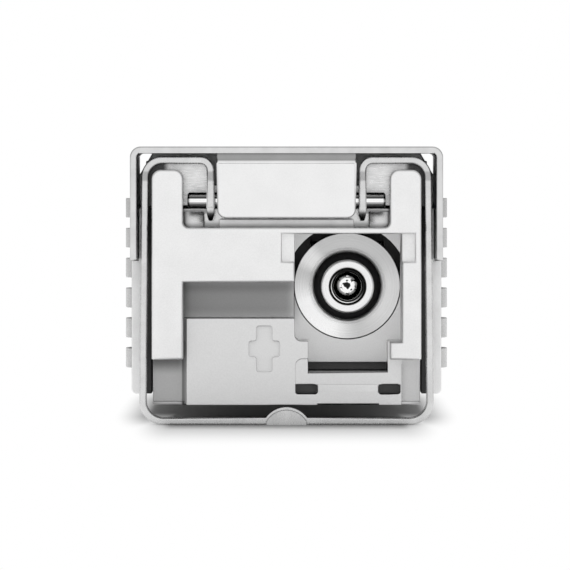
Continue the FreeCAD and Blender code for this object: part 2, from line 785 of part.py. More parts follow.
def emi_collar():
    """Stamped collar round the housing, open over the latch, with rows of bowed spring fingers."""
    body = new_body("emi_collar")
    side_in = "(cage_half + collar_gap)"
    side_out = "(%s + collar_sheet)" % side_in
    top_in = "(cage_top + collar_gap)"
    top_out = "(%s + collar_sheet)" % top_in
    low_in = "(cage_bottom + collar_seat - collar_gap)"
    low_out = "(%s - collar_sheet)" % low_in
    band = [(side_out, low_out), (side_out, top_out), ("collar_mouth", top_out),
            ("collar_mouth", top_in), (side_in, top_in), (side_in, low_in)]
    front_pad(body, "band", "collar_front", "collar_band", band + mirror_x(band))
    root = "(collar_front + collar_band)"
    tip = "collar_end"
    bow = "(finger_bulge - collar_gap - collar_sheet)"
    lower_bow = "(lower_bulge + collar_seat - collar_gap - collar_sheet)"
    for side, inner, outer, rise, fall in (("left", "-" + side_in, "-" + side_out, "-" + bow, bow),
                                           ("right", side_in, side_out, bow, "-" + bow)):
        leaf = plan_pad(body, side + "_finger", "cage_bottom + finger_lift", "finger_width",
                        [(inner, root, rise), (inner, tip), (outer, tip, fall), (outer, root)])
        pattern(body, side + "_fingers", leaf, "Z_Axis", SIDE_FINGERS, "finger_pitch")
    first_lower = "-%d * finger_pitch / 2 - finger_width / 2" % (LOWER_FINGERS - 1)
    leaf = side_pad(body, "lower_finger", first_lower, "finger_width",
                    [(root, low_in, lower_bow), (tip, low_in), (tip, low_out, "-" + lower_bow),
                     (root, low_out)])
    pattern(body, "lower_fingers", leaf, "X_Axis", LOWER_FINGERS, "finger_pitch")
    for side, start in (("left", "finger_width / 2 - cage_half"),
                        ("right", "collar_mouth + finger_width / 2")):
        leaf = side_pad(body, side + "_upper_finger", start, "finger_width",
                        [(root, top_in, "-" + bow), (tip, top_in), (tip, top_out, bow), (root, top_out)])
        pattern(body, side + "_upper_fingers", leaf, "X_Axis", UPPER_FINGERS, "finger_pitch")
    return body


def label_cover():
    """Lid on the label side: locating lips, board posts, a chip pedestal and a shallow label field."""
    body = new_body("label_cover")
    plan_pad(body, "plate", "cage_bottom", "lid_thickness",
             rect("-cage_half", "cage_half", "stop_depth", "length"))
    soften("Fillet", body, "plate_edges", "edge_round", "y", both_sides("cage_half", "cage_bottom"))
    plan_pocket(body, "collar_bed", "cage_bottom", "collar_seat",
                rect("-cage_half", "cage_half", "stop_depth", "collar_end + collar_inset"))
    lip_out = "(wall_x - seat_gap)"
    lip_in = "(%s - lip_width)" % lip_out
    for side, low, high in (("left", "-" + lip_out, "-" + lip_in), ("right", lip_in, lip_out)):
        plan_pad(body, side + "_lip", "lid_top", "lip_height",
                 rect(low, high, "guide_end", "length - lip_width"))
    posts = [disc(x, y, "post_radius") for x in ("-post_x", "post_x")
             for y in ("ledge_front + post_inset", "ledge_rear - post_inset")]
    plan_pad(body, "board_posts", "lid_top", "board_under - lid_top", *posts)
    plan_pad(body, "chip_pedestal", "lid_top", "board_under - driver_height - pad_thickness - lid_top",
             rect("-driver_half", "driver_half", "driver_y - driver_half", "driver_y + driver_half"))
    plan_pocket(body, "label_field", "cage_bottom", "label_inset",
                rect("label_margin - cage_half", "cage_half - label_margin", "collar_end + label_gap",
                     "length - label_end"))
    return body


def osa_flange():
    """Turned flange behind the port, with a counterbore round the barrel."""
    body = new_body("osa_flange", "port_x", "port_z")
    bore = "(barrel_radius + press_gap)"
    floor = "(flange_depth + annulus_depth)"
    rim = "(flange_radius - flange_chamfer)"
    turn(body, "ring", [("annulus_radius", "flange_depth"), (rim, "flange_depth"),
                        ("flange_radius", "flange_depth + flange_chamfer"), ("flange_radius", "flange_back"),
                        (bore, "flange_back"), (bore, floor), ("annulus_radius", floor)])
    return body


def osa_barrel():
    """Turned barrel that the ferrule enters, stepped to the neck behind the flange."""
    body = new_body("osa_barrel", "port_x", "port_z")
    rim = "(barrel_radius - barrel_chamfer)"
    turn(body, "barrel", [("barrel_bore + barrel_mouth", "barrel_tip"), (rim, "barrel_tip"),
                          ("barrel_radius", "barrel_tip + barrel_chamfer"), ("barrel_radius", "flange_back"),
                          ("neck_radius", "flange_back"), ("neck_radius", "block_front"),
                          ("barrel_bore", "block_front"), ("barrel_bore", "barrel_tip + barrel_mouth")])
    return body


def split_sleeve():
    """Ceramic sleeve with one slit along it, which grips the ferrule."""
    body = new_body("split_sleeve", "port_x", "port_z")
    turn(body, "sleeve", rect("sleeve_bore", "barrel_bore - press_gap", "sleeve_front", "sleeve_end"))
    front_pocket(body, "slit", "sleeve_front", "sleeve_length",
                 rect("-sleeve_slit / 2", "sleeve_slit / 2", "0", "barrel_bore"))
    return body


def fibre_stub():
    """Ceramic stub pressed in the barrel, with a chamfered end that the ferrule butts against."""
    body = new_body("fibre_stub", "port_x", "port_z")
    radius = "(barrel_bore - press_gap)"
    turn(body, "stub", [("0", "stub_front"), (radius + " - stub_chamfer", "stub_front"),
                        (radius, "stub_front + stub_chamfer"), (radius, "block_front"), ("0", "block_front")])
    return body


def osa_clip():
    """Slotted sheet clip that holds the flange in the nose."""
    body = new_body("osa_clip", "port_x", "port_z")
    slot = "(neck_radius + seat_gap)"
    top = "(recess_floor - port_z)"
    front_pad(body, "clip", "flange_back", "clip_sheet", rect("-clip_half", "clip_half", "-clip_half", top))
    front_pocket(body, "slot_end", "flange_back", "clip_sheet", disc("0", "0", slot))
    front_pocket(body, "slot", "flange_back", "clip_sheet", rect("-" + slot, slot, "0", top))
    return body


def osa_body():
    """Block that splits the light: a bore along the port and a cross bore to the receiver."""
    body = new_body("osa_body", "port_x", "port_z")
    front_pad(body, "block", "block_front", "block_length",
              rect("-block_half", "block_half", "-block_half", "block_half"))
    front_pocket(body, "light_bore", "block_front", "block_length", disc("0", "0", "block_bore"))
    side_pocket(body, "cross_bore", "-block_half", "block_half", disc("receiver_axis", "0", "block_bore"))
    return body


def wavelength_filter():
    """Glass plate across the crossing of the bores, at half a right angle."""
    plate = doc.addObject("Part::Box", "wavelength_filter")
    plate.Label = "wavelength_filter"
    plate.setExpression("Length", formula("filter_size"))
    plate.setExpression("Width", formula("filter_sheet"))
    plate.setExpression("Height", formula("filter_size"))
    plate.Placement.Rotation = FreeCAD.Rotation(Vector(0, 0, 1), 45)
    shift = "(filter_size - filter_sheet) * sqrt(2) / 4"
    rise = "(filter_size + filter_sheet) * sqrt(2) / 4"
    plate.setExpression("Placement.Base.x", formula("port_x - " + shift))
    plate.setExpression("Placement.Base.y", formula("receiver_axis - length / 2 - " + rise))
    plate.setExpression("Placement.Base.z", formula("port_z - filter_size / 2"))
    sub_parts.append(plate)
    return plate


def laser_can():
    """Laser header with its cap in the light bore."""
    body = new_body("laser_can", "port_x", "port_z")
    turn(body, "can", [("0", "block_end - cap_length"), ("cap_radius", "block_end - cap_length"),
                       ("cap_radius", "block_end"), ("can_radius", "block_end"),
                       ("can_radius", "block_end + can_header"), ("0", "block_end + can_header")])
    return body


def lead_places(first, second):
    """Centres of the leads on their circle."""
    reach = "(lead_circle * sqrt(0.5))"
    return [("%s %s %s" % (first, a, reach), "%s %s %s" % (second, b, reach)) for a in "+-" for b in "+-"]


def laser_leads():
    body = new_body("laser_leads", "port_x", "port_z")
    front_pad(body, "leads", "block_end + can_header", "lead_length",
              *[disc(x, z, "lead_radius") for x, z in lead_places("0", "0")])
    return body


def laser_flex():
    """Flexible strip from the laser's leads to the upper face of the board."""
    body = new_body("laser_flex", "port_x")
    face = "(block_end + can_header + flex_standoff)"
    back = "(%s + flex_sheet)" % face
    upper = "(board_top + flex_sheet)"
    last = "(board_front + flex_landing)"
    side_pad(body, "strip", "-flex_half", "2 * flex_half",
             [(face, "port_z - flex_half"), (back, "port_z - flex_half"), (back, "board_top"),
              (last, "board_top"), (last, upper), (face, upper)])
    soften("Fillet", body, "outer_bend", "flex_bend", "x", [(face, upper)])
    soften("Fillet", body, "inner_bend", "flex_bend - flex_sheet", "x", [(back, "board_top")])
    front_pocket(body, "lead_holes", face, "flex_sheet",
                 *[disc(x, z, "lead_radius + seat_gap") for x, z in lead_places("0", "port_z")])
    return body


def receiver_can():
    """Receiver header on the side of the block, with its cap in the cross bore."""
    body = new_body("receiver_can", "port_x", "port_z")
    body.setExpression("Placement.Base.y", formula("receiver_axis - length / 2"))
    tip = "(cap_length - block_half)"
    back = "(-block_half - can_header)"
    turn(body, "can", [(tip, "0"), (tip, "cap_radius"), ("-block_half", "cap_radius"),
                       ("-block_half", "can_radius"), (back, "can_radius"), (back, "0")], "H_Axis")
    return body


def receiver_leads():
    body = new_body("receiver_leads", "port_x", "port_z")
    side_pad(body, "leads", "-block_half - can_header - lead_length", "lead_length",
             *[disc(y, z, "lead_radius") for y, z in lead_places("receiver_axis", "0")])
    return body


def receiver_flex():
    """Flexible strip that turns under the receiver and rises to the lower face of the board."""
    body = new_body("receiver_flex", "port_x")
    face = "(-block_half - can_header - flex_standoff)"
    back = "(%s - flex_sheet)" % face
    low = "(port_z - tail_drop)"
    low_top = "(%s + flex_sheet)" % low
    near = "(receiver_axis - flex_half)"
    edge = "(tail_gap - wall_x - port_x)"
    front_pad(body, "plate", near, "2 * flex_half",
              [(face, "port_z + flex_half"), (back, "port_z + flex_half"), (back, low_top), (edge, low_top),
               (edge, low), (face, low)])
    soften("Fillet", body, "outer_bend", "flex_bend", "y", [(face, low)])
    soften("Fillet", body, "inner_bend", "flex_bend - flex_sheet", "y", [(back, low_top)])
    land = "(board_under - flex_sheet)"
    climb_end = "(board_front - flex_bend)"
    climb = "(%s - (%s - %s))" % (climb_end, land, low)
    mitre = "(flex_sheet * tan(22.5))"
    last = "(board_front + flex_landing)"
    side_pad(body, "tail", edge, "%s - %s - flex_bend" % (back, edge),
             [(near, low), (climb, low), (climb_end, land), (last, land), (last, "board_under"),
              ("%s - %s" % (climb_end, mitre), "board_under"), ("%s - %s" % (climb, mitre), low_top),
              (near, low_top)])
    side_pocket(body, "lead_holes", back, "flex_sheet",
                *[disc(y, z, "lead_radius + seat_gap") for y, z in lead_places("receiver_axis", "port_z")])
    return body


def circuit_board():
    """Board under the housing ledges, stepped in to the contact tongue at the rear."""
    body = new_body("circuit_board")
    half = "(wall_x - 2 * seat_gap)"
    plan_pad(body, "board", "board_under", "board_thickness",
             [("-" + half, "board_front"), (half, "board_front"), (half, "connector_front"),
              ("tongue_half", "connector_front"), ("tongue_half", "board_end"), ("-tongue_half", "board_end"),
              ("-tongue_half", "connector_front"), ("-" + half, "connector_front")])
    soften("Chamfer", body, "lead_in", "board_thickness / 4", "x",
           [("board_end", "board_top"), ("board_end", "board_under")])
    return body


def edge_contacts(label, z_from):
    """One row of plated contacts on the tongue."""
    body = new_body(label)
    last = "(board_end - contact_margin)"
    middle = "(-%d * contact_pitch / 2)" % (CONTACTS_IN_ROW - 1)
    first = plan_pad(body, "contact", z_from, "contact_plating",
                     rect(middle + " - contact_width / 2", middle + " + contact_width / 2",
                          last + " - contact_length", last))
    pattern(body, "contacts", first, "X_Axis", CONTACTS_IN_ROW, "contact_pitch")
    return body


def chip(label, half, height, y, z_from):
    """Square package with a marked corner cut away."""
    body = new_body(label)
    front = "(%s - %s)" % (y, half)
    back = "(%s + %s)" % (y, half)
    plan_pad(body, "package", z_from, height,
             [("-" + half, front), (half, front), (half, back), ("-%s / 2" % half, back),
              ("-" + half, "%s + %s / 2" % (y, half))])
    return body


def small_parts(label, kind, height, first_x, middle_y):
    """Two staggered columns of like soldered parts at each side of a chip, on the board's upper face."""
    body = new_body(label)
    length, width, pitch = kind + "_length", kind + "_width", kind + "_pitch"
    second_x = "(%s + %s + part_gap)" % (first_x, width)
    shapes = []
    for x, rows in ((first_x, (-1, 0, 1)), (second_x, (-0.5, 0.5))):
        for row in rows:
            front = "(%s + %s * %s - %s / 2)" % (middle_y, row, pitch, length)
            back = "(%s + %s)" % (front, length)
            shapes.append(rect(x, "%s + %s" % (x, width), front, back))
            shapes.append(rect("-%s - %s" % (x, width), "-" + x, front, back))
    plan_pad(body, "bodies", "board_top", height, *shapes)
    return body


def thermal_pad():
    """Soft pad between the driver and the pedestal of the lid."""
    body = new_body("thermal_pad")
    plan_pad(body, "pad", "board_under - driver_height - pad_thickness", "pad_thickness",
             rect("-driver_half", "driver_half", "driver_y - driver_half", "driver_y + driver_half"))
    return body


nose_receptacle()
housing_base()
label_cover()
latch_hood()
emi_collar()
bail()
pivot_pin()
actuator()
osa_flange()
osa_barrel()
split_sleeve()
fibre_stub()
osa_clip()
osa_body()
wavelength_filter()
laser_can()
laser_leads()
laser_flex()
receiver_can()
receiver_leads()
receiver_flex()
circuit_board()
edge_contacts("edge_contacts_upper", "board_top")
edge_contacts("edge_contacts_lower", "board_under - contact_plating")
chip("driver_chip", "driver_half", "driver_height", "driver_y", "board_under - driver_height")
chip("controller_chip", "controller_half", "controller_height", "controller_y", "board_top")
chip("receiver_chip", "receiver_half", "controller_height", "receiver_y", "board_top")
small_parts("capacitors", "capacitor", "capacitor_width", "(controller_half + part_gap)", "controller_y")
small_parts("resistors", "resistor", "resistor_height", "(receiver_half + part_gap)", "receiver_y")
thermal_pad()
doc.recompute()

faults = [item.Name for item in doc.Objects if "Invalid" in item.State or "Error" in item.State]
faults += [item.Label for item in sub_parts if item.Shape.isNull() or not item.Shape.isValid()]
if faults:
    raise RuntimeError("not built: " + ", ".join(faults))
os.makedirs("parts", exist_ok=True)
for item in sub_parts:
    item.Shape.exportStep("parts/%s.step" % item.Label)
    box = item.Shape.BoundBox
    print("%-22s %d solids  x %.2f %.2f  y %.2f %.2f  z %.2f %.2f" % (
        item.Label, len(item.Shape.Solids), box.XMin, box.XMax, box.YMin, box.YMax, box.ZMin, box.ZMax))
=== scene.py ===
import json
import math
import bmesh
import bpy
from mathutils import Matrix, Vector

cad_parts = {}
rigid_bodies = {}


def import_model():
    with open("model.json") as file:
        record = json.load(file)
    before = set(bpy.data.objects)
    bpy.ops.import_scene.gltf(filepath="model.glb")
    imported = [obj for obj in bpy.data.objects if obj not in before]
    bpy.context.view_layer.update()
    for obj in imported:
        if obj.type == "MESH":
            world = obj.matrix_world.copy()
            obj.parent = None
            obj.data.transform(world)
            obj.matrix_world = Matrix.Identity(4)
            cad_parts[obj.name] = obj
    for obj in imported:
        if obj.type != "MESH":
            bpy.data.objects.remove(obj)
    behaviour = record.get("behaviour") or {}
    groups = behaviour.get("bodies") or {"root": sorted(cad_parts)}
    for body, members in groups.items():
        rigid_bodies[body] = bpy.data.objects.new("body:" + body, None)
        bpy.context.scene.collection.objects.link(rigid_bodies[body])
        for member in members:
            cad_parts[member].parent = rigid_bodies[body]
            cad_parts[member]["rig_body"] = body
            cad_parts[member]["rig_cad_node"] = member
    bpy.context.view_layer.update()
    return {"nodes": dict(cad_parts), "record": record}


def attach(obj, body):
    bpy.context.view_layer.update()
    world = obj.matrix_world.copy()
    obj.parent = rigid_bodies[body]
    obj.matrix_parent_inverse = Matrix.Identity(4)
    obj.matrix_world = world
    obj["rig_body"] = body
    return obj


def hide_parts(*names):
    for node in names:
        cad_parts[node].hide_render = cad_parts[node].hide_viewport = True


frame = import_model()
parts = frame["nodes"]
slotOf = {row["node"]: row["material_slot"] for row in frame["record"]["subparts"]}
mm = 0.001
noseY = -28.25 * mm            # front face of the nose
portX, portZ = 2.71 * mm, 6.03 * mm    # optical axis, which runs along y
print("frame loaded,", len(parts), "nodes")


# shorthand for node trees, where a value is a number, a tuple or another node's output

def feed(tree, socket, value):
    if isinstance(value, bpy.types.NodeSocket):
        tree.links.new(value, socket)
    elif value is not None:
        socket.default_value = value


def calc(tree, operation, first, second=None):
    node = tree.nodes.new("ShaderNodeMath")
    node.operation = operation
    feed(tree, node.inputs[0], first)
    feed(tree, node.inputs[1], second)
    return node.outputs[0]


def vectorCalc(tree, operation, first, second=None):
    node = tree.nodes.new("ShaderNodeVectorMath")
    node.operation = operation
    feed(tree, node.inputs[0], first)
    feed(tree, node.inputs[1], second)
    return node.outputs["Value" if operation == "LENGTH" else "Vector"]


def spread(tree, value, low, high, fromLow=0.3, fromHigh=0.7, smooth=False):
    node = tree.nodes.new("ShaderNodeMapRange")
    if smooth:
        node.interpolation_type = "SMOOTHSTEP"
    node.inputs["From Min"].default_value = fromLow
    node.inputs["From Max"].default_value = fromHigh
    node.inputs["To Min"].default_value = low
    node.inputs["To Max"].default_value = high
    tree.links.new(value, node.inputs["Value"])
    return node.outputs["Result"]


def blendValues(tree, mask, first, second):
    node = tree.nodes.new("ShaderNodeMix")
    for name, value in (("Factor", mask), ("A", first), ("B", second)):
        feed(tree, node.inputs[name], value)
    return node.outputs["Result"]


def axes(tree, place):
    split = tree.nodes.new("ShaderNodeSeparateXYZ")
    tree.links.new(place, split.inputs[0])
    return split.outputs["X"], split.outputs["Y"], split.outputs["Z"]


def seenDirectly(tree):        # 1 for camera, mirror and see-through rays
    path = tree.nodes.new("ShaderNodeLightPath")
    straight = calc(tree, "MAXIMUM", path.outputs["Is Camera Ray"], path.outputs["Is Glossy Ray"])
    return calc(tree, "MAXIMUM", straight, path.outputs["Is Transmission Ray"])


# camera, floor and light

cameraLook = {
    "distance": 350 * mm,      # from the nose face
    "elevation": 0.8,
    "lens": 505,
    "sensor": 36,
    "clip": (0.01, 20),
    "aim": (-0.066 * mm, noseY, 6.158 * mm),
}
studio = {
    "floorSize": 4.0,
    "floorShadowTones": (0.36, 0.66),     # painted shadow: floor tone under the module, and the tone beside it
    "floorEdge": 2.5 * mm,          # width of the change between them
    "floorShadowPatches": [(6.1, 9), (5.0, 27.2)],   # half width and half length of the painted shadow patches in mm
    "floorStretch": (5, 0.32, 1),   # the floor turns plain white sooner beside the module than in front
    "floorClear": 9 * mm,
    "ambient": 0.72,           # room light on matt surfaces
    "frontTone": 1.0,          # what metal mirrors in front of the nose
    "roomTone": 0.46,          # and all round
    "frontEdge": (-0.92, -0.40),    # where the one turns into the other, as a direction along y
    "lampAim": (0, -0.02, 0.006),
    "lamps": [                 # name, place, size, power
        ("keyLamp", (0.36, -0.60, 0.44), 0.40, 0.8),
        ("topLamp", (-0.05, 0.10, 0.80), 0.60, 1.3),
        ("backLamp", (0.05, 0.70, 0.42), 0.50, 1.5),
    ],
}


def addCamera(look):
    tilt = math.radians(look["elevation"])
    back = Vector((0, -math.cos(tilt), math.sin(tilt)))
    bpy.ops.object.camera_add(location=Vector(look["aim"]) + back * look["distance"])
    camera = bpy.context.object
    camera.name = "photoCamera"
    camera.rotation_euler = (math.radians(90 - look["elevation"]), 0, 0)
    camera.data.sensor_width = look["sensor"]
    camera.data.lens = look["lens"]
    camera.data.clip_start, camera.data.clip_end = look["clip"]
    bpy.context.scene.camera = camera


def addFloor(look):
    bpy.ops.mesh.primitive_plane_add(size=look["floorSize"])
    floor = bpy.context.object
    floor.name = "studioFloor"
    paint = bpy.data.materials.new("floorPaint")
    paint.use_nodes = True
    tree = paint.node_tree
    tree.nodes.clear()
    output = tree.nodes.new("ShaderNodeOutputMaterial")
    mixed = tree.nodes.new("ShaderNodeMixShader")
    matt = tree.nodes.new("ShaderNodeBsdfDiffuse")
    glow = tree.nodes.new("ShaderNodeEmission")
    place = tree.nodes.new("ShaderNodeTexCoord")
    beside = 1
    # painted shadow: patches round the module where the floor's colour goes darker
    for halfWidth, halfLength in look["floorShadowPatches"]:
        away = vectorCalc(tree, "ABSOLUTE", place.outputs["Object"])      # how far outside the patch
        away = vectorCalc(tree, "SUBTRACT", away, (halfWidth * mm, halfLength * mm, 0))
        away = vectorCalc(tree, "MAXIMUM", away, (0, 0, 0))
        away = vectorCalc(tree, "MULTIPLY", away, look["floorStretch"])
        beside = calc(tree, "MINIMUM", vectorCalc(tree, "LENGTH", away), beside)
    clear = spread(tree, beside, 0, 1, 0, look["floorClear"], smooth=True)
    tone = spread(tree, beside, *look["floorShadowTones"], 0, look["floorEdge"], smooth=True)
    tree.links.new(tone, matt.inputs["Color"])
    tree.links.new(calc(tree, "MULTIPLY", clear, seenDirectly(tree)), mixed.inputs["Fac"])
    tree.links.new(matt.outputs[0], mixed.inputs[1])
    tree.links.new(glow.outputs[0], mixed.inputs[2])
    tree.links.new(mixed.outputs[0], output.inputs["Surface"])
    floor.data.materials.append(paint)


def addWorld(look):
    world = bpy.data.worlds.new("studioRoom")
    bpy.context.scene.world = world
    world.use_nodes = True
    tree = world.node_tree
    light = tree.nodes["Background"]
    light.inputs["Color"].default_value = (1, 1, 1, 1)
    # metal mirrors a white wall in front of the nose and a greyer room all round
    place = tree.nodes.new("ShaderNodeTexCoord")
    ahead = axes(tree, place.outputs["Generated"])[1]
    tone = spread(tree, ahead, look["frontTone"], look["roomTone"], *look["frontEdge"], smooth=True)
    path = tree.nodes.new("ShaderNodeLightPath")
    tone = blendValues(tree, path.outputs["Is Camera Ray"], tone, 1)      # camera rays see plain white
    level = blendValues(tree, seenDirectly(tree), look["ambient"], tone)
    tree.links.new(level, light.inputs["Strength"])


def addLamps(look):
    for name, place, size, power in look["lamps"]:
        bpy.ops.object.light_add(type="AREA", location=place)
        lamp = bpy.context.object
        lamp.name = name
        lamp.data.shape = "SQUARE"
        lamp.data.size = size
        lamp.data.energy = power
        towards = Vector(look["lampAim"]) - Vector(place)
        lamp.rotation_euler = towards.to_track_quat("-Z", "Y").to_euler()
        lamp.visible_camera = False
        lamp.visible_glossy = False      # no lamp glare on the flat tops


bpy.ops.object.select_all(action="DESELECT")
addCamera(cameraLook)
addFloor(studio)
addWorld(studio)
addLamps(studio)
bpy.context.scene.view_settings.view_transform = "Standard"
print("camera, floor and lamps placed")


# finishes

def startFinish(name, colour, metal, rough):
    finish = bpy.data.materials.new(name)
    finish.use_nodes = True
    tree = finish.node_tree
    shader = tree.nodes["Principled BSDF"]
    shader.inputs["Base Color"].default_value = (*colour, 1)
    shader.inputs["Metallic"].default_value = metal
    shader.inputs["Roughness"].default_value = rough
    return finish, tree, shader


def grey(level):
    return (level, level, level)


def objectPlace(tree, centre=(0, 0, 0), stretch=(1, 1, 1)):
    place = tree.nodes.new("ShaderNodeTexCoord")
    mapping = tree.nodes.new("ShaderNodeMapping")
    mapping.inputs["Location"].default_value = [-a * b for a, b in zip(centre, stretch)]
    mapping.inputs["Scale"].default_value = stretch
    tree.links.new(place.outputs["Object"], mapping.inputs["Vector"])
    return mapping.outputs["Vector"]


def noise(tree, place, grain, detail=3.0, rough=0.55):   # grain is the size of a speck
    node = tree.nodes.new("ShaderNodeTexNoise")
    node.inputs["Scale"].default_value = 1 / grain
    node.inputs["Detail"].default_value = detail
    node.inputs["Roughness"].default_value = rough
    tree.links.new(place, node.inputs["Vector"])
    return node.outputs["Fac"]


def ramp(tree, value, dark, light, fromLow=0.3, fromHigh=0.7):
    node = tree.nodes.new("ShaderNodeValToRGB")
    node.color_ramp.elements[0].position = fromLow
    node.color_ramp.elements[0].color = (*dark, 1)
    node.color_ramp.elements[1].position = fromHigh
    node.color_ramp.elements[1].color = (*light, 1)
    tree.links.new(value, node.inputs["Fac"])
    return node.outputs["Color"]


def mottle(tree, value, colour, patches):    # patches are the darkest and the lightest, times the colour
    dark, light = [[min(1, part * level) for part in colour] for level in patches]
    return ramp(tree, value, dark, light)


def blendTones(tree, mask, first, second, way="MIX"):
    node = tree.nodes.new("ShaderNodeMix")
    node.data_type = "RGBA"
    node.blend_type = way
    feed(tree, node.inputs["Factor"], mask)
    for socket, tone in zip(node.inputs[6:8], (first, second)):      # the colour sockets
        feed(tree, socket, (*tone, 1) if isinstance(tone, tuple) else tone)
    return node.outputs[2]


def paintWith(tree, shader, colour, rough=None):
    tree.links.new(colour, shader.inputs["Base Color"])
    if rough is not None:
        tree.links.new(rough, shader.inputs["Roughness"])


def zoneMask(tree, place, zone):
    # soft box in mm: y counts back from the nose face, side is the distance from the middle
    x, y, z = axes(tree, place)
    ways = {"x": x, "y": calc(tree, "SUBTRACT", y, noseY), "z": z, "side": calc(tree, "ABSOLUTE", x)}
    half = zone.get("soft", 0.04) * mm / 2
    mask = None
    for way, value in ways.items():
        for end, low, high in zip(zone.get(way, (None, None)), (0, 1), (1, 0)):
            if end is not None:
                edge = spread(tree, value, low, high, end * mm - half, end * mm + half, smooth=True)
                mask = edge if mask is None else calc(tree, "MULTIPLY", mask, edge)
    return mask


def paintZones(tree, place, colour, zones):
    for zone in zones:
        colour = blendTones(tree, zoneMask(tree, place, zone), colour, grey(zone["tone"]), "MULTIPLY")
    return colour


def emboss(tree, value, shader, depth, strength=0.5):
    bump = tree.nodes.new("ShaderNodeBump")
    bump.inputs["Strength"].default_value = strength
    bump.inputs["Distance"].default_value = depth
    tree.links.new(value, bump.inputs["Height"])
    tree.links.new(bump.outputs["Normal"], shader.inputs["Normal"])


recessWall = {"side": (None, 5.2), "y": (3.2, 4.2)}     # housing wall behind the top recess
castLook = {
    "dark": 0.66, "light": 0.98, "rough": (0.36, 0.46), "speck": 0.085 * mm, "depth": 0.03 * mm,
    "cloud": 9,                # dull and bright clouds, in specks
    "lug": 0.90, "lugPatches": (0.96, 1.03), "lugGrain": 0.12,     # pin lug and recess wall are ground
    "lugEnd": noseY + 4.0 * mm, "lugBlend": 0.3 * mm,
    "wallRough": 0.12,
    "zones": [
        # painted shade on the step behind the nose, where it sits in the gap behind the bail
        {"side": (None, 6.22), "y": (7.5, 9.3), "z": (None, 11.05), "tone": 0.06},
        {"side": (5.3, 6.22), "y": (2.9, 7.5), "z": (None, 11.05), "tone": 0.06},
        # painted shade on the lug's brow under the hood
        {"side": (None, 3.1), "y": (None, 1.2), "z": (11.60, None), "soft": 0.10, "tone": 0.42},
        # painted shade on the recess wall: darker under the pin, darkest at its foot, with a painted shadow
        # line beside the bail's tips
        {**recessWall, "z": (None, 9.60), "tone": 0.74},
        {**recessWall, "z": (None, 8.88), "soft": 0.3, "tone": 0.42},
        {**recessWall, "side": (3.3, 5.2), "z": (9.26, 9.46), "soft": 0.10, "tone": 0.45},
    ],
}


def makeCastFinish(look):
    finish, tree, shader = startFinish("castHousing", grey(look["light"]), 1, look["rough"][0])
    place = objectPlace(tree)
    speck = noise(tree, place, look["speck"], detail=4)
    cloud = noise(tree, place, look["cloud"] * look["speck"], detail=2)
    fine = noise(tree, place, look["speck"] / 2)
    lugEnd = look["lugEnd"]
    behindLug = spread(tree, axes(tree, place)[1], 0, 1, lugEnd, lugEnd + look["lugBlend"])
    asCast = ramp(tree, speck, grey(look["dark"]), grey(look["light"]))
    ground = mottle(tree, fine, grey(look["lug"]), look["lugPatches"])
    colour = paintZones(tree, place, blendTones(tree, behindLug, ground, asCast), look["zones"])
    wallGain = look["wallRough"] / look["rough"][1]
    smoothed = spread(tree, zoneMask(tree, place, recessWall), 1, wallGain, 0, 1)
    rough = calc(tree, "MULTIPLY", spread(tree, cloud, *look["rough"]), smoothed)
    paintWith(tree, shader, colour, rough)
    height = calc(tree, "MULTIPLY", speck, spread(tree, behindLug, look["lugGrain"], 1, 0, 1))
    emboss(tree, height, shader, look["depth"])
    return finish


noseLook = {
    "dark": 0.90, "light": 0.96, "rough": (0.50, 0.60), "speck": 0.06 * mm, "depth": 0.006 * mm,
    "cloud": 14,               # dull and bright clouds, in specks
    "inside": {"y": (0.7, None), "soft": 0.6}, "inRough": 0.32,    # smoother, where the die leaves a skin
    "ribs": {"side": (3.5, 4.9), "y": (2.4, 2.8), "z": (8.5, 9.5)}, "ribRough": 0.26,   # coined flat
    "zones": [                 # painted shade: darker deeper in the openings, in the vent and catch windows, and under the overhangs
        {"y": (0.9, None), "soft": 0.8, "tone": 0.78},
        {"x": (None, 0.42), "y": (3.4, None), "z": (4.6, 6.35), "soft": 1.0, "tone": 0.42},
        {"x": (None, 0.42), "y": (2.2, None), "z": (5.85, 6.6), "soft": 0.5, "tone": 0.72},
        {"x": (None, -4.5), "y": (2.2, None), "z": (None, 3.64), "tone": 0.62},
        {"x": (None, -4.5), "y": (2.2, None), "z": (2.45, None), "soft": 0.7, "tone": 0.36},
        {"x": (-4.62, -4.40), "y": (2.02, None), "z": (None, 4.62), "tone": 0.45},
        {"x": (5.09, None), "y": (2.2, None), "z": (None, 3.7), "tone": 0.9},
        {"x": (0.3, 5.09), "y": (2.25, None), "z": (None, 2.62), "tone": 0.15},
        {"y": (0.3, None), "z": (8.5, 8.80), "soft": 0.25, "tone": 0.45},
        {"side": (None, 2.96), "y": (0.4, 3.0), "z": (8.5, 9.1), "soft": 0.1, "tone": 0.75},
    ],
}


def makeNoseFinish(look):
    finish, tree, shader = startFinish("noseCasting", grey(look["light"]), 1, look["rough"][0])
    place = objectPlace(tree)
    speck = noise(tree, place, look["speck"], detail=4)
    cloud = noise(tree, place, look["cloud"] * look["speck"], detail=2)
    pearl = ramp(tree, speck, grey(look["dark"]), grey(look["light"]))
    colour = paintZones(tree, place, pearl, look["zones"])
    inside = zoneMask(tree, place, look["inside"])
    rough = blendValues(tree, inside, spread(tree, cloud, *look["rough"]), look["inRough"])
    ribGain = look["ribRough"] / look["inRough"]
    coined = spread(tree, zoneMask(tree, place, look["ribs"]), 1, ribGain, 0, 1)
    paintWith(tree, shader, colour, calc(tree, "MULTIPLY", rough, coined))
    emboss(tree, speck, shader, look["depth"])
    return finish


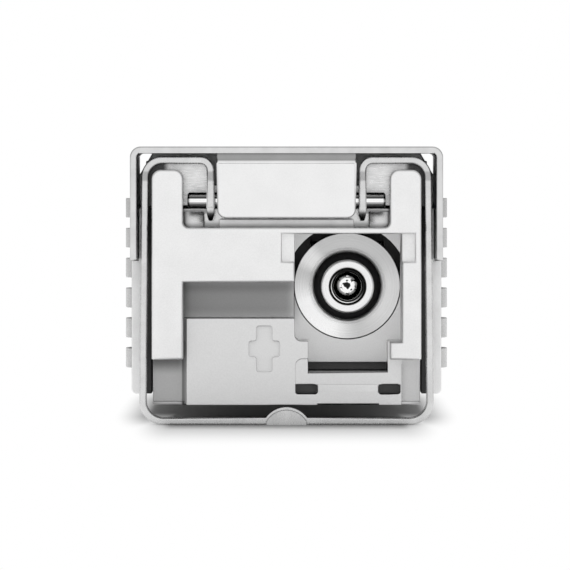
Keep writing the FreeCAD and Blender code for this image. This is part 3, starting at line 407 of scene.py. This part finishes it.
def paintedPinBands(tree, place, reflectionBands):
    # painted highlight and painted reflections: light and dark bands by height along a pin
    low, high = reflectionBands[0][0], reflectionBands[-1][0]
    lines = tree.nodes.new("ShaderNodeValToRGB")
    stops = lines.color_ramp.elements
    for height, tone in reflectionBands[1:-1]:
        stops.new((height - low) / (high - low))
    for stop, (height, tone) in zip(stops, reflectionBands):
        stop.color = (*grey(tone), 1)
    up = axes(tree, place)[2]
    tree.links.new(spread(tree, up, 0, 1, low * mm, high * mm), lines.inputs["Fac"])
    return lines.outputs["Color"]


rolledLook = {"cloud": 12, "patches": (0.92, 1.04)}     # the same on every rolled or drawn metal
sheetLook = {
    "tone": 0.72, "rough": (0.28, 0.40), "speck": 0.05 * mm, "along": 1, "pull": 14, "depth": 0.003 * mm,
}
blackLook = {
    "tone": 0.035, "rough": (0.35, 0.5), "speck": 0.06 * mm, "along": 2, "pull": 6, "depth": 0.003 * mm,
}
bailLook = {
    "tone": 0.70, "rough": (0.20, 0.32), "speck": 0.05 * mm, "along": 2, "pull": 8, "depth": 0.0004 * mm,
    "zones": [
        {"z": (10.72, 11.13), "soft": 0.14, "tone": 0.62},     # darker band on the legs under the bends
        {"side": (None, 3.6), "z": (8.5, 9.32), "soft": 0.36, "tone": 0.20},     # painted shade on the inner legs' tips
    ],
}
slideLook = {
    "tone": 0.88, "rough": (0.24, 0.34), "speck": 0.05 * mm, "along": 0, "pull": 8, "depth": 0.0008 * mm,
    "zones": [{"side": (5.3, None), "soft": 0.3, "tone": 0.12}],   # painted shade at the sides, in the gap under the hood
}
springLook = {
    "tone": 0.52, "rough": (0.18, 0.30), "speck": 0.06 * mm, "along": 1, "pull": 10, "depth": 0.003 * mm,
    "zones": [{"side": (6.7, 6.95), "soft": 0.16, "tone": 0.55}],   # darker at the fingers' roots
}
pinLook = {
    "tone": 0.80, "rough": (0.12, 0.20), "speck": 0.04 * mm, "along": 0, "pull": 12, "depth": 0.002 * mm,
    "reflectionBands": [                # height in mm and tone of the painted highlight and reflection bands
        (9.49, 0.05), (9.54, 0.08), (9.57, 0.40), (9.76, 0.36), (9.79, 0.95), (9.92, 0.95),
        (9.945, 0.08), (10.02, 0.08), (10.04, 0.55), (10.11, 0.55), (10.13, 0.05), (10.21, 0.05),
    ],
}


def makeRolledFinish(name, look):
    # metal with fine marks drawn out along one axis
    finish, tree, shader = startFinish(name, grey(look["tone"]), 1, look["rough"][0])
    stretch = [1.0, 1.0, 1.0]
    stretch[look["along"]] = 1 / look["pull"]
    marks = noise(tree, objectPlace(tree, stretch=stretch), look["speck"], detail=4)
    place = objectPlace(tree)
    # a pin gets painted highlight and reflection bands in place of its mottle
    if "reflectionBands" in look:
        colour = paintedPinBands(tree, place, look["reflectionBands"])
    else:
        cloud = noise(tree, place, rolledLook["cloud"] * look["speck"], detail=2)
        colour = mottle(tree, cloud, grey(look["tone"]), rolledLook["patches"])
        colour = paintZones(tree, place, colour, look.get("zones", []))
    paintWith(tree, shader, colour, spread(tree, marks, *look["rough"]))
    emboss(tree, marks, shader, look["depth"])
    return finish


def fromAxis(tree):            # distance from the optical axis, and the place across it
    place = objectPlace(tree, (portX, 0, portZ), (1, 0, 1))
    return vectorCalc(tree, "LENGTH", place), place


turnedLook = {
    "tone": 0.94, "patches": (0.92, 1.04), "rough": 0.26, "drawn": 0.8,
    "ring": 0.03 * mm, "ringDetail": 3, "depth": 0.004 * mm,     # lathe marks
    "betweenHighlightsTone": 0.66, "highlightCore": 0.2,     # tone of the face between the painted highlights, and the share of each highlight's half width at full gain
    "highlightFans": [(-2.36, 1.1, 0.52), (-0.3, 1.1, 0.17), (2.5, 0.35, 0.25)],   # painted highlights: direction, half width, gain
    "faceFrom": 1.3 * mm,      # the flange's face begins here
    "mouth": 0.822 * mm, "mouthShade": 0.02,                      # painted shade inside the barrel
    "line": (0.70 * mm, 0.742 * mm), "lipHighlightFan": (-2.2, 2.0),     # but for a painted highlight line on its lip
}


def makeTurnedFinish(look):
    # lathe marks run round the optical axis
    finish, tree, shader = startFinish("turnedSteel", grey(look["tone"]), 1, look["rough"])
    radius, place = fromAxis(tree)
    rings = tree.nodes.new("ShaderNodeTexNoise")
    rings.noise_dimensions = "1D"
    rings.inputs["Scale"].default_value = 1 / look["ring"]
    rings.inputs["Detail"].default_value = look["ringDetail"]
    tree.links.new(radius, rings.inputs["W"])
    steel = mottle(tree, rings.outputs["Fac"], grey(look["tone"]), look["patches"])
    x, z = axes(tree, place)[::2]
    angle = calc(tree, "ARCTAN2", z, x)

    def highlightFan(direction, half, gain):
        offset = calc(tree, "SUBTRACT", angle, direction - math.pi)
        turned = calc(tree, "FLOORED_MODULO", offset, 2 * math.pi)
        off = calc(tree, "ABSOLUTE", calc(tree, "SUBTRACT", turned, math.pi))
        return spread(tree, off, gain, 0, look["highlightCore"] * half, half, smooth=True)

    # painted highlights: bright sectors on the flange's face, multiplied onto its lathe marks
    highlightFans = look["betweenHighlightsTone"]
    for direction, half, gain in look["highlightFans"]:
        highlightFans = calc(tree, "ADD", highlightFan(direction, half, gain), highlightFans)
    tone = tree.nodes.new("ShaderNodeCombineColor")
    for socket in tone.inputs:
        tree.links.new(highlightFans, socket)
    onFace = calc(tree, "GREATER_THAN", radius, look["faceFrom"])
    steel = blendTones(tree, onFace, steel, tone.outputs[0], "MULTIPLY")
    # painted shade in the barrel's mouth, with the painted highlight line on its lip
    inMouth = calc(tree, "LESS_THAN", radius, look["mouth"])
    line = calc(tree, "MULTIPLY", calc(tree, "GREATER_THAN", radius, look["line"][0]),
                calc(tree, "LESS_THAN", radius, look["line"][1]))
    line = calc(tree, "MULTIPLY", line, highlightFan(*look["lipHighlightFan"], 1))
    mouth = blendTones(tree, line, grey(look["mouthShade"]), grey(look["tone"]))
    paintWith(tree, shader, blendTones(tree, inMouth, steel, mouth))
    emboss(tree, rings.outputs["Fac"], shader, look["depth"])
    around = vectorCalc(tree, "CROSS_PRODUCT", place, (0, 1, 0))
    tree.links.new(vectorCalc(tree, "NORMALIZE", around), shader.inputs["Tangent"])
    shader.inputs["Anisotropic"].default_value = look["drawn"]
    return finish


stubLook = {
    "bright": 0.95, "dark": 0.015, "rough": 0.08,
    "core": 0.14 * mm, "rim": 0.47 * mm, "soft": 0.03 * mm,      # dark fibre core with painted shade round its edge, polished out to the rim, painted shade past it
    "shadeBlot": 0.15 * mm, "shadeBlotDetail": 0.5, "uneven": 0.22 * mm, "petals": (0.35, 0.40),
}


def makeStubFinish(look):
    # polished end with a dark fibre core, and painted shade in uneven patches round it and past the polished
    # rim
    finish, tree, shader = startFinish("polishedStub", grey(look["bright"]), 1, look["rough"])
    radius, place = fromAxis(tree)
    shadeBlots = noise(tree, place, look["shadeBlot"], look["shadeBlotDetail"])
    shift = calc(tree, "MULTIPLY", calc(tree, "SUBTRACT", shadeBlots, 0.5), look["uneven"])
    uneven = calc(tree, "ADD", radius, shift)
    inside = spread(tree, uneven, 0, 1, look["core"], look["core"] + look["soft"])
    outside = spread(tree, radius, 1, 0, look["rim"] - look["soft"], look["rim"])
    petals = spread(tree, shadeBlots, 0, 1, *look["petals"])
    mask = calc(tree, "MULTIPLY", calc(tree, "MULTIPLY", inside, outside), petals)
    paintWith(tree, shader, blendTones(tree, mask, grey(look["dark"]), grey(look["bright"])))
    return finish


grainLook = {"speck": 0.08 * mm, "patches": (0.86, 1.1), "depth": 0.004 * mm}     # the same on all of these
plainLooks = {                 # colour, metal, roughness from and to
    "ceramic": ((0.80, 0.80, 0.77), 0, (0.12, 0.2)),
    "filter_glass": ((0.70, 0.80, 0.86), 0, (0.03, 0.06)),
    "header_metal": ((0.83, 0.66, 0.36), 1, (0.2, 0.32)),
    "gold_plate": ((0.86, 0.64, 0.28), 1, (0.18, 0.3)),
    "flex_film": ((0.50, 0.26, 0.07), 0, (0.25, 0.38)),
    "chip_resin": ((0.020, 0.020, 0.022), 0, (0.5, 0.65)),
    "gap_filler": ((0.50, 0.58, 0.66), 0, (0.6, 0.75)),
}


def makePlainFinish(name, colour, metal, rough):
    finish, tree, shader = startFinish(name, colour, metal, rough[0])
    speck = noise(tree, objectPlace(tree), grainLook["speck"])
    tone = mottle(tree, speck, colour, grainLook["patches"])
    paintWith(tree, shader, tone, spread(tree, speck, *rough))
    emboss(tree, speck, shader, grainLook["depth"])
    return finish


boardLook = {
    "mask": (0.02, 0.16, 0.07), "trace": (0.05, 0.27, 0.12), "rough": 0.3, "depth": 0.012 * mm,
    "pitch": 0.8 * mm, "width": 0.32, "edge": 0.04,      # tracks, width and edge as parts of the pitch
    "weave": 0.2 * mm, "weaveTones": (0.6, 1), "weaveShows": 0.35, "weaveRelief": 0.3,
}


def makeBoardFinish(look):
    # green mask over copper tracks that run back from the contacts
    finish, tree, shader = startFinish("boardLaminate", look["mask"], 0, look["rough"])
    place = objectPlace(tree)
    turns = calc(tree, "DIVIDE", axes(tree, place)[0], look["pitch"])
    across = calc(tree, "FLOORED_MODULO", turns, 1)
    middle = calc(tree, "ABSOLUTE", calc(tree, "SUBTRACT", across, 0.5))
    track = spread(tree, middle, 1, 0, look["width"] - look["edge"], look["width"])
    weave = noise(tree, place, look["weave"])
    tone = blendTones(tree, track, look["mask"], look["trace"])
    cloth = ramp(tree, weave, *[grey(level) for level in look["weaveTones"]])
    paintWith(tree, shader, blendTones(tree, look["weaveShows"], tone, cloth, "MULTIPLY"))
    relief = calc(tree, "ADD", track, calc(tree, "MULTIPLY", weave, look["weaveRelief"]))
    emboss(tree, relief, shader, look["depth"])
    return finish


solderLook = {                 # the same on both kinds of small part
    "rough": (0.3, 0.5), "tin": 0.72, "speck": 0.06 * mm, "patches": (0.85, 1.1), "depth": 0.003 * mm,
}
chipPartLooks = {              # body colour, first y, spacing along y, tinned beyond this, second column
    "capacitor_ceramic": ((0.46, 0.34, 0.22), 39.5 * mm, 1.0 * mm, 0.30, 9.0 * mm),
    "resistor_film": ((0.035, 0.035, 0.04), 32.5 * mm, 1.0 * mm, 0.17, 2.7 * mm),
}


def makeChipPartFinish(name, colour, first, pitch, endsAt, column):
    # small soldered parts with tinned ends
    finish, tree, shader = startFinish(name, colour, 0, solderLook["rough"][0])
    place = objectPlace(tree)
    x, y = axes(tree, place)[:2]
    inSecond = calc(tree, "GREATER_THAN", calc(tree, "ABSOLUTE", x), column)
    along = calc(tree, "SUBTRACT", y, noseY + first)
    shifted = calc(tree, "ADD", along, calc(tree, "MULTIPLY", inSecond, pitch / 2))
    turns = calc(tree, "ADD", calc(tree, "DIVIDE", shifted, pitch), 0.5)
    fromMiddle = calc(tree, "SUBTRACT", calc(tree, "FLOORED_MODULO", turns, 1), 0.5)
    ends = calc(tree, "GREATER_THAN", calc(tree, "ABSOLUTE", fromMiddle), endsAt)
    speck = noise(tree, place, solderLook["speck"])
    body = mottle(tree, speck, colour, solderLook["patches"])
    tinned = blendTones(tree, ends, body, grey(solderLook["tin"]))
    paintWith(tree, shader, tinned, spread(tree, speck, *solderLook["rough"]))
    tree.links.new(ends, shader.inputs["Metallic"])
    emboss(tree, speck, shader, solderLook["depth"])
    return finish


finishes = {                   # by the record's slots
    "cast_housing": makeCastFinish(castLook),
    "nose_casting": makeNoseFinish(noseLook),
    "sheet_steel": makeRolledFinish("sheetSteel", sheetLook),
    "blackened_steel": makeRolledFinish("blackenedSteel", blackLook),
    "bail_steel": makeRolledFinish("bailSteel", bailLook),
    "spring_steel": makeRolledFinish("springSteel", springLook),
    "turned_steel": makeTurnedFinish(turnedLook),
    "board_laminate": makeBoardFinish(boardLook),
}
for slotName, look in plainLooks.items():
    finishes[slotName] = makePlainFinish(slotName + "Finish", *look)
for slotName, look in chipPartLooks.items():
    finishes[slotName] = makeChipPartFinish(slotName + "Finish", *look)
ownFinishes = {                # for single pieces
    "pivot_pin": makeRolledFinish("pinSteel", pinLook),
    "actuator": makeRolledFinish("slideSteel", slideLook),
    "fibre_stub": makeStubFinish(stubLook),
}


def setFinish(piece, finish):
    piece.data.materials.clear()
    piece.data.materials.append(finish)


for nodeName, node in parts.items():
    setFinish(node, finishes[slotOf[nodeName]])
print(len(finishes) + len(ownFinishes), "finishes made")


# the castings, the bent sheet and the pin get the small edge rounds of the real ones

softEdges = {                  # node: passes of (which outer edges, round, steps)
    "nose_receptacle": [("front", 0.10 * mm, 3), ("rest", 0.04 * mm, 2)],
    "housing_base": [("front", 0.10 * mm, 3), ("rest", 0.05 * mm, 2)],
    "label_cover": [("rest", 0.05 * mm, 2)],
    "latch_hood": [("rest", 0.07 * mm, 3)],
    "bail": [("strip", 0.08 * mm, 3), ("rest", 0.035 * mm, 2)],
    "actuator": [("rest", 0.05 * mm, 2)],
    "emi_collar": [("rest", 0.02 * mm, 1)],
    "pivot_pin": [("rest", 0.02 * mm, 2)],
}
softLook = {
    "merge": 0.0005 * mm, "flat": 0.4, "smooth": 40,     # angles in degrees
    "sharp": 35,                                         # edges sharper than this are rounded
    "atFront": 0.001 * mm,                               # and count as front edges within this
    "tabHalf": 1.4 * mm, "tabTop": 1.2 * mm,             # the bail's finger tab keeps its front edges
}
# the rest in mm, in boxes of x, depth behind the nose face and height
tightSpots = [                 # ribs too thin to round
    ((4.42, 5.2), (1.9, 2.8), (0.8, 3.75)),
    ((0, 5.6), (6.4, 7.96), (3.3, 8.75)),
    ((-3.2, 3.2), (0, 0.6), (11.7, 12)),
    ((-6.45, 6.45), (0.2, 0.4), (11.9, 11.95)),
    ((-6.1, 6.1), (3.7, 3.9), (8.6, 8.75)),
]
nudges = {                     # corners in a box go on by so much
    "nose_receptacle": [       # end wall of the latch channel
        ((0.9, 4.5), (6.5, 8.6), (2.75, 2.85), (0, 0, -0.185)),
    ],
    "housing_base": [          # wall behind the recess
        ((-6.1, 6.1), (3.7, 3.9), (8.71, 8.73), (0, 0, -0.045)),
    ],
    "latch_hood": [            # wider reliefs where the back wall's bends meet
        ((-6.6, -6.55), (8.7, 9.01), (11.74, 11.76), (0, 0, -0.74)),
        ((6.55, 6.6), (8.7, 9.01), (11.74, 11.76), (0, 0, -0.74)),
        ((-6.12, -6.08), (8.7, 9.01), (11.92, 11.94), (0.07, 0, 0)),
        ((6.08, 6.12), (8.7, 9.01), (11.92, 11.94), (-0.07, 0, 0)),
    ],
}
windowLook = {                 # the two catch windows have round corners
    "boxes": [((0.3, 1.6), (1.9, 5), (1.2, 1.9)), ((3.9, 5.2), (1.9, 5), (1.2, 1.9))],
    "through": 0.5, "round": 0.11, "steps": 4,           # edges longer than this run through the wall
}
browLook = {                   # the lug's brow rises up to the hood
    "box": ((-3.1, 3.1), (0.2, 0.56), (11.65, 11.9)), "scale": (1, 0.25, 1.2),
}
notchLook = {                  # step on the slide that hides the gap behind it
    "arms": 3.9, "half": 3.5, "level": 10.29, "within": 0.02, "rise": 0.24,
    "facing": 0.9,             # least upward part of a floor face's normal
}


def inBox(corner, box):
    place = (corner.x, corner.y - noseY, corner.z)
    return all(low * mm <= value <= high * mm for value, (low, high) in zip(place, box))


def selectCorners(piece, box):
    bpy.ops.mesh.select_mode(type="VERT")
    bpy.ops.mesh.select_all(action="DESELECT")
    bpy.ops.object.mode_set(mode="OBJECT")
    for vertex in piece.data.vertices:
        vertex.select = inBox(vertex.co, box)
    bpy.ops.object.mode_set(mode="EDIT")


def selectEdges(piece, wanted):
    bpy.ops.mesh.select_mode(type="EDGE")
    bpy.ops.mesh.select_all(action="DESELECT")
    mesh = bmesh.from_edit_mesh(piece.data)
    for edge in mesh.edges:
        if wanted(edge, [vertex.co for vertex in edge.verts]):
            edge.select_set(True)
    bmesh.update_edit_mesh(piece.data)


def nudgeCorners(piece, moves):
    for *box, shift in moves:
        selectCorners(piece, box)
        bpy.ops.transform.translate(value=[way * mm for way in shift])


def steepenBrow(piece, look):
    selectCorners(piece, look["box"])
    depth, height = look["box"][1:]
    bpy.ops.transform.resize(value=look["scale"],
                             center_override=(0, noseY + depth[0] * mm, height[0] * mm))


def roundWindows(piece, look):
    def throughWindow(edge, corners):
        inWindow = any(all(inBox(corner, box) for corner in corners) for box in look["boxes"])
        return inWindow and abs(corners[0].y - corners[1].y) > look["through"] * mm

    selectEdges(piece, throughWindow)
    bpy.ops.mesh.bevel(offset=look["round"] * mm, segments=look["steps"], affect="EDGES")


def raiseNotch(piece, look):
    armsY = noseY + look["arms"] * mm
    bpy.ops.mesh.select_all(action="SELECT")
    bpy.ops.mesh.bisect(plane_co=(0, armsY, 0), plane_no=(0, 1, 0))
    bpy.ops.mesh.select_mode(type="FACE")
    bpy.ops.mesh.select_all(action="DESELECT")
    bpy.ops.object.mode_set(mode="OBJECT")
    for face in piece.data.polygons:
        level = abs(face.center.z - look["level"] * mm) < look["within"] * mm
        between = abs(face.center.x) < look["half"] * mm and face.center.y < armsY
        face.select = face.normal.z > look["facing"] and level and between
    bpy.ops.object.mode_set(mode="EDIT")
    bpy.ops.mesh.extrude_region_move(TRANSFORM_OT_translate={"value": (0, 0, look["rise"] * mm)})


def roundEdges(piece, look, which, width, steps):
    frontY = min(vertex.co.y for vertex in bmesh.from_edit_mesh(piece.data).verts)

    def toRound(edge, corners):
        sharp = edge.is_manifold and edge.calc_face_angle_signed() > math.radians(look["sharp"])
        foremost = all(abs(corner.y - frontY) < look["atFront"] for corner in corners)
        onTab = all(abs(corner.x) < look["tabHalf"] and corner.z < look["tabTop"] for corner in corners)
        wanted = which == "rest" or (foremost and not (which == "strip" and onTab))
        tight = any(all(inBox(corner, spot) for corner in corners) for spot in tightSpots)
        return sharp and wanted and not tight

    selectEdges(piece, toRound)
    bpy.ops.mesh.bevel(offset=width, segments=steps, affect="EDGES", clamp_overlap=False)


def softCopy(nodeName, passes, look):
    bpy.ops.object.select_all(action="DESELECT")
    node = parts[nodeName]
    node.select_set(True)
    bpy.context.view_layer.objects.active = node
    bpy.ops.object.duplicate()
    piece = bpy.context.object
    piece.name = nodeName + "_soft"
    del piece["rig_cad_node"]
    bpy.ops.mesh.customdata_custom_splitnormals_clear()
    bpy.ops.object.mode_set(mode="EDIT")
    bpy.ops.mesh.select_all(action="SELECT")
    bpy.ops.mesh.remove_doubles(threshold=look["merge"])
    bpy.ops.mesh.dissolve_limited(angle_limit=math.radians(look["flat"]))
    if nodeName == "actuator":
        raiseNotch(piece, notchLook)
    if nodeName == "housing_base":
        steepenBrow(piece, browLook)
    if nodeName == "nose_receptacle":
        roundWindows(piece, windowLook)
    nudgeCorners(piece, nudges.get(nodeName, []))
    for which, width, steps in passes:
        roundEdges(piece, look, which, width, steps)
    bpy.ops.object.mode_set(mode="OBJECT")
    bpy.ops.object.shade_smooth_by_angle(angle=math.radians(look["smooth"]))
    bpy.ops.object.modifier_add(type="WEIGHTED_NORMAL")
    piece.modifiers[-1].keep_sharp = True
    bpy.ops.object.modifier_apply(modifier=piece.modifiers[-1].name)
    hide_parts(nodeName)
    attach(piece, node["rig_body"])
    return piece


for nodeName, passes in softEdges.items():
    piece = softCopy(nodeName, passes, softLook)
    if nodeName in ownFinishes:
        setFinish(piece, ownFinishes[nodeName])
    print("softened", nodeName, len(piece.data.polygons), "faces")


# turned pieces on the optical axis, drawn out ring by ring as radius and depth behind the nose face in mm

turnLook = {"ring": 96, "merge": 0.0001 * mm, "smooth": 28}
flangeProfile = [
    (1.18, 7.95), (2.365, 7.95), (2.365, 6.78), (2.358, 6.76), (2.34, 6.75), (2.15, 6.756), (1.95, 6.764),
    (1.75, 6.775), (1.62, 6.79), (1.55, 6.81), (1.50, 6.85), (1.465, 6.92), (1.45, 7.02), (1.445, 7.12),
    (1.445, 7.45), (1.18, 7.45), (1.18, 7.95),
]
barrelProfile = [              # a lip in the mouth keeps the sleeve in
    (0.83, 14.3), (1.605, 14.3), (1.605, 7.95), (1.175, 7.95), (1.175, 4.47), (1.16, 4.43), (1.125, 4.405),
    (1.09, 4.40), (0.87, 4.40), (0.842, 4.41), (0.825, 4.435), (0.745, 4.63), (0.735, 4.645), (0.70, 4.645),
    (0.63, 4.79), (0.83, 4.79), (0.83, 14.3),
]
annulusShadeProfile = [           # black ring between barrel and flange, a dark piece put in the annulus as painted shade
    (1.176, 7.44), (1.444, 7.44), (1.444, 7.02), (1.40, 7.05), (1.31, 7.075), (1.22, 7.05), (1.176, 7.02),
    (1.176, 7.44),
]
stubProfile = [                # chamfered and slightly domed end
    (0.825, 14.3), (0.825, 8.35), (0.80, 8.30), (0.50, 7.90), (0.47, 7.87), (0.44, 7.858), (0.33, 7.853),
    (0.2, 7.851), (0.08, 7.85),
]


def turnPiece(name, profile, finish, look):
    bpy.ops.object.select_all(action="DESELECT")
    hollow = profile[0] == profile[-1]       # a solid piece is capped at both ends
    radius, depth = profile[0]
    bpy.ops.mesh.primitive_circle_add(
        vertices=look["ring"], radius=radius * mm, fill_type="NOTHING" if hollow else "NGON",
        location=(portX, noseY + depth * mm, portZ), rotation=(math.pi / 2, 0, 0))
    piece = bpy.context.object
    piece.name = name
    bpy.ops.object.transform_apply(location=True, rotation=True, scale=True)
    bpy.ops.object.mode_set(mode="EDIT")
    bpy.ops.mesh.select_mode(type="EDGE")
    bpy.ops.mesh.select_all(action="SELECT")
    if not hollow:
        bpy.ops.mesh.region_to_loop()
    for (lastRadius, lastDepth), (radius, depth) in zip(profile, profile[1:]):
        bpy.ops.mesh.extrude_edges_move(TRANSFORM_OT_translate={"value": (0, (depth - lastDepth) * mm, 0)})
        bpy.ops.transform.resize(value=(radius / lastRadius, 1, radius / lastRadius),
                                 center_override=(portX, noseY + depth * mm, portZ))
    if not hollow:
        bpy.ops.mesh.edge_face_add()
    bpy.ops.mesh.select_all(action="SELECT")
    bpy.ops.mesh.remove_doubles(threshold=look["merge"])
    bpy.ops.mesh.normals_make_consistent(inside=False)
    bpy.ops.object.mode_set(mode="OBJECT")
    bpy.ops.object.shade_smooth_by_angle(angle=math.radians(look["smooth"]))
    setFinish(piece, finish)
    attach(piece, "housing")
    return piece


flange = turnPiece("osa_flange_turned", flangeProfile, finishes["turned_steel"], turnLook)
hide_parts("osa_flange")
barrel = turnPiece("osa_barrel_turned", barrelProfile, finishes["turned_steel"], turnLook)
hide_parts("osa_barrel")
annulusShadeRing = turnPiece("annulus_shade_ring", annulusShadeProfile, finishes["chip_resin"], turnLook)
stub = turnPiece("fibre_stub_polished", stubProfile, ownFinishes["fibre_stub"], turnLook)
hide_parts("fibre_stub")
print("turned pieces made")
